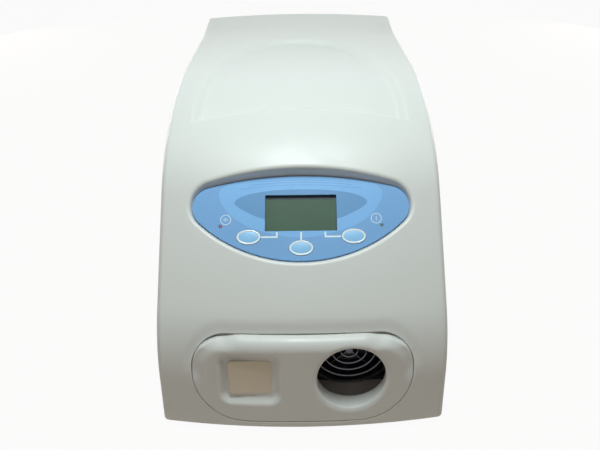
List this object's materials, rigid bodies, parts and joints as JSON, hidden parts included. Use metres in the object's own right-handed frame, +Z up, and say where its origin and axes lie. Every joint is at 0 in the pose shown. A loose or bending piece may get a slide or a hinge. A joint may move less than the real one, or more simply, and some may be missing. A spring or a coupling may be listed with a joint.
{
  "type": "bench-top water circulator",
  "caption": "Bench-top water circulator with a sloping moulded cover, keypad and display, front air intake, Peltier cooler, pump and tank, and hose tails behind.",
  "frame": {"origin": "centre of the overall size in plan, on the bench under the feet", "axes": "+Z up, +Y towards the rear panel, +X to the right as seen from the front"},
  "size_m": [0.2444, 0.494, 0.2428],
  "materials": {
    "shell": "satin moulded, off-white",
    "badge": "satin, bare",
    "keypad": "printed film on a rigid panel",
    "key": "satin",
    "display_frame": "satin",
    "display_glass": "clear over a grey-green display",
    "board": "lacquered circuit board",
    "red_lamp": "clear red",
    "green_lamp": "clear green",
    "sheet": "fine texture paint, light grey",
    "screw": "plated",
    "rubber": "matt black",
    "black_plastic": "satin black",
    "wire": "plated wire",
    "aluminium": "milled",
    "ceramic": "white ceramic plates",
    "tank": "natural translucent plastic",
    "pump": "satin dark grey",
    "white_plastic": "satin",
    "hose": "soft silicone hose",
    "tail": "turned stainless steel",
    "cap": "ribbed blue",
    "glass": "clear"
  },
  "bodies": {
    "case": {"cover": "shell", "front_insert": "shell", "badge_plate": "badge", "keypad_panel": "keypad", "lcd_module": "display_frame", "lcd_glass": "display_glass", "display_board": "board", "key_switches": "black_plastic", "heating_lamp": "red_lamp", "power_lamp": "green_lamp", "board_screws": "screw", "base_pan": "sheet", "feet": "rubber", "foot_screws": "screw", "cover_screws": "screw", "rear_panel": "sheet", "rear_screws": "screw", "fan_bracket": "sheet", "fan_frame": "black_plastic", "intake_guard": "wire", "fan_screws": "screw", "heat_sink": "aluminium", "peltier_modules": "ceramic", "water_block": "aluminium", "temperature_probe": "screw", "clamp_plate": "aluminium", "clamp_springs": "screw", "clamp_screws": "screw", "pump_motor": "pump", "pump_head": "white_plastic", "pump_saddle": "rubber", "pump_strap": "screw", "water_tank": "tank", "tank_lid": "tank", "filler_neck": "tank", "hose_tails": "tail", "tail_nuts": "tail", "suction_hose": "hose", "feed_hose": "hose", "supply_hose": "hose", "return_hose": "hose", "power_inlet": "black_plastic", "switch_body": "black_plastic", "power_supply": "aluminium", "supply_board": "board", "board_standoffs": "tail", "control_board": "board", "small_screws": "screw"},
    "fan": {"fan_rotor": "black_plastic"},
    "impeller": {"pump_impeller": "white_plastic"},
    "float": {"level_float": "white_plastic"},
    "left_key": {"left_key": "key"},
    "centre_key": {"centre_key": "key"},
    "right_key": {"right_key": "key"},
    "rocker": {"switch_rocker": "black_plastic"},
    "fuse_holder": {"fuse_drawer": "black_plastic", "fuse": "glass"},
    "tank_cap": {"filler_cap": "cap", "cap_seal": "rubber"},
    "drain": {"drain_plug": "cap"}
  },
  "joints": [
    {"name": "fan_spin", "type": "hinge", "parent": "case", "child": "fan", "pos_m": [0.04, -0.1925, 0.0563], "axis": [0, 1, 0], "continuous": true},
    {"name": "impeller_spin", "type": "hinge", "parent": "case", "child": "impeller", "pos_m": [-0.064, -0.129, 0.046], "axis": [0, 1, 0], "continuous": true},
    {"name": "float_rise", "type": "slide", "parent": "case", "child": "float", "axis": [0, 0, 1], "range_m": [0, 0.06]},
    {"name": "left_key_press", "type": "slide", "parent": "case", "child": "left_key", "axis": [0, 0.6561, -0.7547], "range_m": [0, 0.0006], "stiffness_N_per_m": 2500, "springref_m": -0.0003},
    {"name": "centre_key_press", "type": "slide", "parent": "case", "child": "centre_key", "axis": [0, 0.6561, -0.7547], "range_m": [0, 0.0006], "stiffness_N_per_m": 2500, "springref_m": -0.0003},
    {"name": "right_key_press", "type": "slide", "parent": "case", "child": "right_key", "axis": [0, 0.6561, -0.7547], "range_m": [0, 0.0006], "stiffness_N_per_m": 2500, "springref_m": -0.0003},
    {"name": "rocker_tilt", "type": "hinge", "parent": "case", "child": "rocker", "pos_m": [0.076, 0.215, 0.112], "axis": [1, 0, 0], "range_deg": [0, 18]},
    {"name": "fuse_slide", "type": "slide", "parent": "case", "child": "fuse_holder", "axis": [0, 1, 0], "range_m": [0, 0.015]},
    {"name": "cap_lift", "type": "slide", "parent": "case", "child": "tank_cap", "axis": [0, 1, 0], "range_m": [0, 0.03]},
    {"name": "drain_pull", "type": "slide", "parent": "case", "child": "drain", "axis": [0, 1, 0], "range_m": [0, 0.02]}
  ]
}
